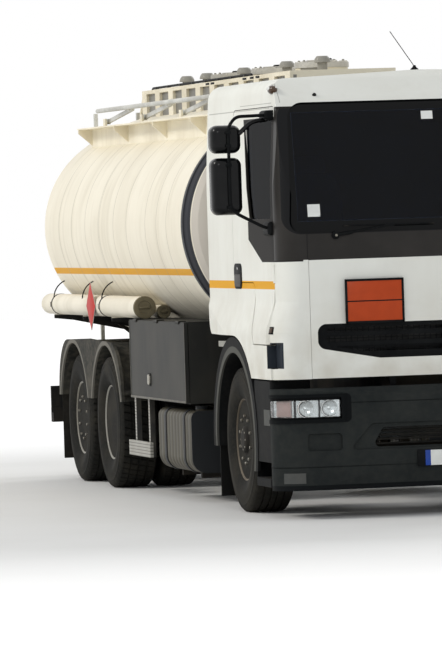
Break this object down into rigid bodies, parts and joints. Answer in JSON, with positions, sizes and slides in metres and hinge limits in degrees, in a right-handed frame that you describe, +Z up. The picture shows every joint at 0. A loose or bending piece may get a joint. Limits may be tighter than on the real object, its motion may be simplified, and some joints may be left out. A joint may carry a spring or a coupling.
{
  "type": "tanker truck",
  "caption": "Rigid tanker truck: tilting cab over the engine, oval tank with top walkway and manholes, side locker, folding handrail, steered front wheels and twin rear tyres.",
  "frame": {"origin": "on the ground under the middle of the truck's overall length and width", "axes": "-Y is the way the truck drives, -X is its right side, +Z is up"},
  "size_m": [3.11, 8.85, 3.2649],
  "materials": {
    "tank_paint": "gloss",
    "cab_paint": "gloss",
    "chassis_paint": "satin",
    "silver_paint": "satin",
    "dark_plastic": "matte",
    "step_plastic": "matte",
    "aluminium": "brushed",
    "galvanised": "satin",
    "tyre": "matte",
    "glass": "gloss",
    "lamp_glass": "gloss",
    "mirror_case": "matte",
    "seat_fabric": "matte",
    "locker_paint": "satin"
  },
  "bodies": {
    "chassis": {"chassis_frame": "chassis_paint", "engine": "chassis_paint", "front_axle": "chassis_paint", "drive_axle": "chassis_paint", "tag_axle": "chassis_paint", "rear_suspension": "chassis_paint", "propshaft": "chassis_paint", "front_bumper": "dark_plastic", "lamps": "lamp_glass", "step_mudguards": "step_plastic", "rear_mudguards": "step_plastic", "tank_shell": "tank_paint", "tank_cradle": "chassis_paint", "top_coaming": "aluminium", "top_box": "tank_paint", "hose_tubes": "tank_paint", "locker": "locker_paint", "fuel_tank": "aluminium", "side_guards": "aluminium", "rear_bumper": "chassis_paint", "rear_ladder": "galvanised", "tow_coupling": "chassis_paint"},
    "cab": {"cab_shell": "cab_paint", "windscreen": "glass", "cab_front_trim": "dark_plastic", "dashboard": "dark_plastic", "steering_wheel": "dark_plastic", "seats": "seat_fabric", "wipers": "dark_plastic"},
    "hatch": {"front_hatch": "cab_paint", "grille": "dark_plastic"},
    "track_rod": {"tie_rod": "chassis_paint"},
    "pump_locker_door": {"locker_door": "locker_paint"},
    "rail": {"handrail": "galvanised"},
    "door_right": {"door_right": "cab_paint", "door_glass_right": "glass", "mirrors_right": "mirror_case"},
    "door_left": {"door_left": "cab_paint", "door_glass_left": "glass", "mirrors_left": "mirror_case"},
    "steer_left": {"knuckle_left": "chassis_paint"},
    "steer_right": {"knuckle_right": "chassis_paint"},
    "front_wheel_right": {"front_tyre_right": "tyre", "front_rim_right": "silver_paint"},
    "drive_wheels_right": {"drive_tyres_right": "tyre", "drive_rims_right": "silver_paint"},
    "tag_wheel_right": {"tag_tyre_right": "tyre", "tag_rim_right": "silver_paint"},
    "front_wheel_left": {"front_tyre_left": "tyre", "front_rim_left": "silver_paint"},
    "drive_wheels_left": {"drive_tyres_left": "tyre", "drive_rims_left": "silver_paint"},
    "tag_wheel_left": {"tag_tyre_left": "tyre", "tag_rim_left": "silver_paint"},
    "lid_1": {"manhole_lid_1": "aluminium"},
    "lid_2": {"manhole_lid_2": "aluminium"},
    "lid_3": {"manhole_lid_3": "aluminium"},
    "post_1": {"handrail_post_1": "galvanised"},
    "post_2": {"handrail_post_2": "galvanised"},
    "post_3": {"handrail_post_3": "galvanised"}
  },
  "joints": [
    {"name": "cab_tilt", "type": "hinge", "parent": "chassis", "child": "cab", "pos_m": [0, -4.27, 0.76], "axis": [1, 0, 0], "range_deg": [0, 60]},
    {"name": "door_right_hinge", "type": "hinge", "parent": "cab", "child": "door_right", "pos_m": [-1.15, -4.125, 1.5], "axis": [0, 0, 1], "range_deg": [0, 70]},
    {"name": "door_left_hinge", "type": "hinge", "parent": "cab", "child": "door_left", "pos_m": [1.15, -4.125, 1.5], "axis": [0, 0, -1], "range_deg": [0, 70]},
    {"name": "hatch_hinge", "type": "hinge", "parent": "cab", "child": "hatch", "pos_m": [0, -4.355, 1.785], "axis": [-1, 0, 0], "range_deg": [0, 85]},
    {"name": "steer_left", "type": "hinge", "parent": "chassis", "child": "steer_left", "pos_m": [0.87, -2.975, 0.515], "axis": [0, 0, 1], "range_deg": [-40, 40]},
    {"name": "steer_right", "type": "hinge", "parent": "chassis", "child": "steer_right", "pos_m": [-0.87, -2.975, 0.515], "axis": [0, 0, 1], "range_deg": [-40, 40]},
    {"name": "track_rod_end", "type": "hinge", "parent": "steer_left", "child": "track_rod", "pos_m": [0.87, -2.785, 0.42], "axis": [0, 0, 1], "range_deg": [-40, 40]},
    {"name": "front_wheel_right_spin", "type": "hinge", "parent": "steer_right", "child": "front_wheel_right", "pos_m": [-1.024, -2.975, 0.515], "axis": [1, 0, 0], "continuous": true},
    {"name": "drive_wheels_right_spin", "type": "hinge", "parent": "chassis", "child": "drive_wheels_right", "pos_m": [-1.087, 1.615, 0.515], "axis": [1, 0, 0], "continuous": true},
    {"name": "tag_wheel_right_spin", "type": "hinge", "parent": "chassis", "child": "tag_wheel_right", "pos_m": [-1.064, 2.965, 0.515], "axis": [1, 0, 0], "continuous": true},
    {"name": "front_wheel_left_spin", "type": "hinge", "parent": "steer_left", "child": "front_wheel_left", "pos_m": [1.024, -2.975, 0.515], "axis": [1, 0, 0], "continuous": true},
    {"name": "drive_wheels_left_spin", "type": "hinge", "parent": "chassis", "child": "drive_wheels_left", "pos_m": [1.087, 1.615, 0.515], "axis": [1, 0, 0], "continuous": true},
    {"name": "tag_wheel_left_spin", "type": "hinge", "parent": "chassis", "child": "tag_wheel_left", "pos_m": [1.064, 2.965, 0.515], "axis": [1, 0, 0], "continuous": true},
    {"name": "locker_door_hinge", "type": "hinge", "parent": "chassis", "child": "pump_locker_door", "pos_m": [-1.235, -0.375, 1.33147], "axis": [0, 1, 0], "range_deg": [0, 85]},
    {"name": "lid_1_hinge", "type": "hinge", "parent": "chassis", "child": "lid_1", "pos_m": [0, -0.6, 3.2083], "axis": [-1, 0, 0], "range_deg": [0, 100]},
    {"name": "lid_2_hinge", "type": "hinge", "parent": "chassis", "child": "lid_2", "pos_m": [0, 0.9, 3.2083], "axis": [-1, 0, 0], "range_deg": [0, 100]},
    {"name": "lid_3_hinge", "type": "hinge", "parent": "chassis", "child": "lid_3", "pos_m": [0, 2.4, 3.2083], "axis": [-1, 0, 0], "range_deg": [0, 100]},
    {"name": "post_1_hinge", "type": "hinge", "parent": "chassis", "child": "post_1", "pos_m": [-0.95, -0.325, 2.895], "axis": [-1, 0, 0], "range_deg": [0, 85.5]},
    {"name": "post_2_hinge", "type": "hinge", "parent": "chassis", "child": "post_2", "pos_m": [-0.95, 1.175, 2.895], "axis": [-1, 0, 0], "range_deg": [0, 85.5]},
    {"name": "post_3_hinge", "type": "hinge", "parent": "chassis", "child": "post_3", "pos_m": [-0.95, 2.675, 2.895], "axis": [-1, 0, 0], "range_deg": [0, 85.5]},
    {"name": "rail_hinge", "type": "hinge", "parent": "post_1", "child": "rail", "pos_m": [-0.95, -1.32192, 2.97346], "axis": [-1, 0, 0], "range_deg": [-85.5, 0]}
  ],
  "couplings": [
    {"joint": "steer_right", "follows": "steer_left", "ratio": 1},
    {"joint": "track_rod_end", "follows": "steer_left", "ratio": -1},
    {"joint": "post_2_hinge", "follows": "post_1_hinge", "ratio": 1},
    {"joint": "post_3_hinge", "follows": "post_1_hinge", "ratio": 1},
    {"joint": "rail_hinge", "follows": "post_1_hinge", "ratio": -1}
  ]
}
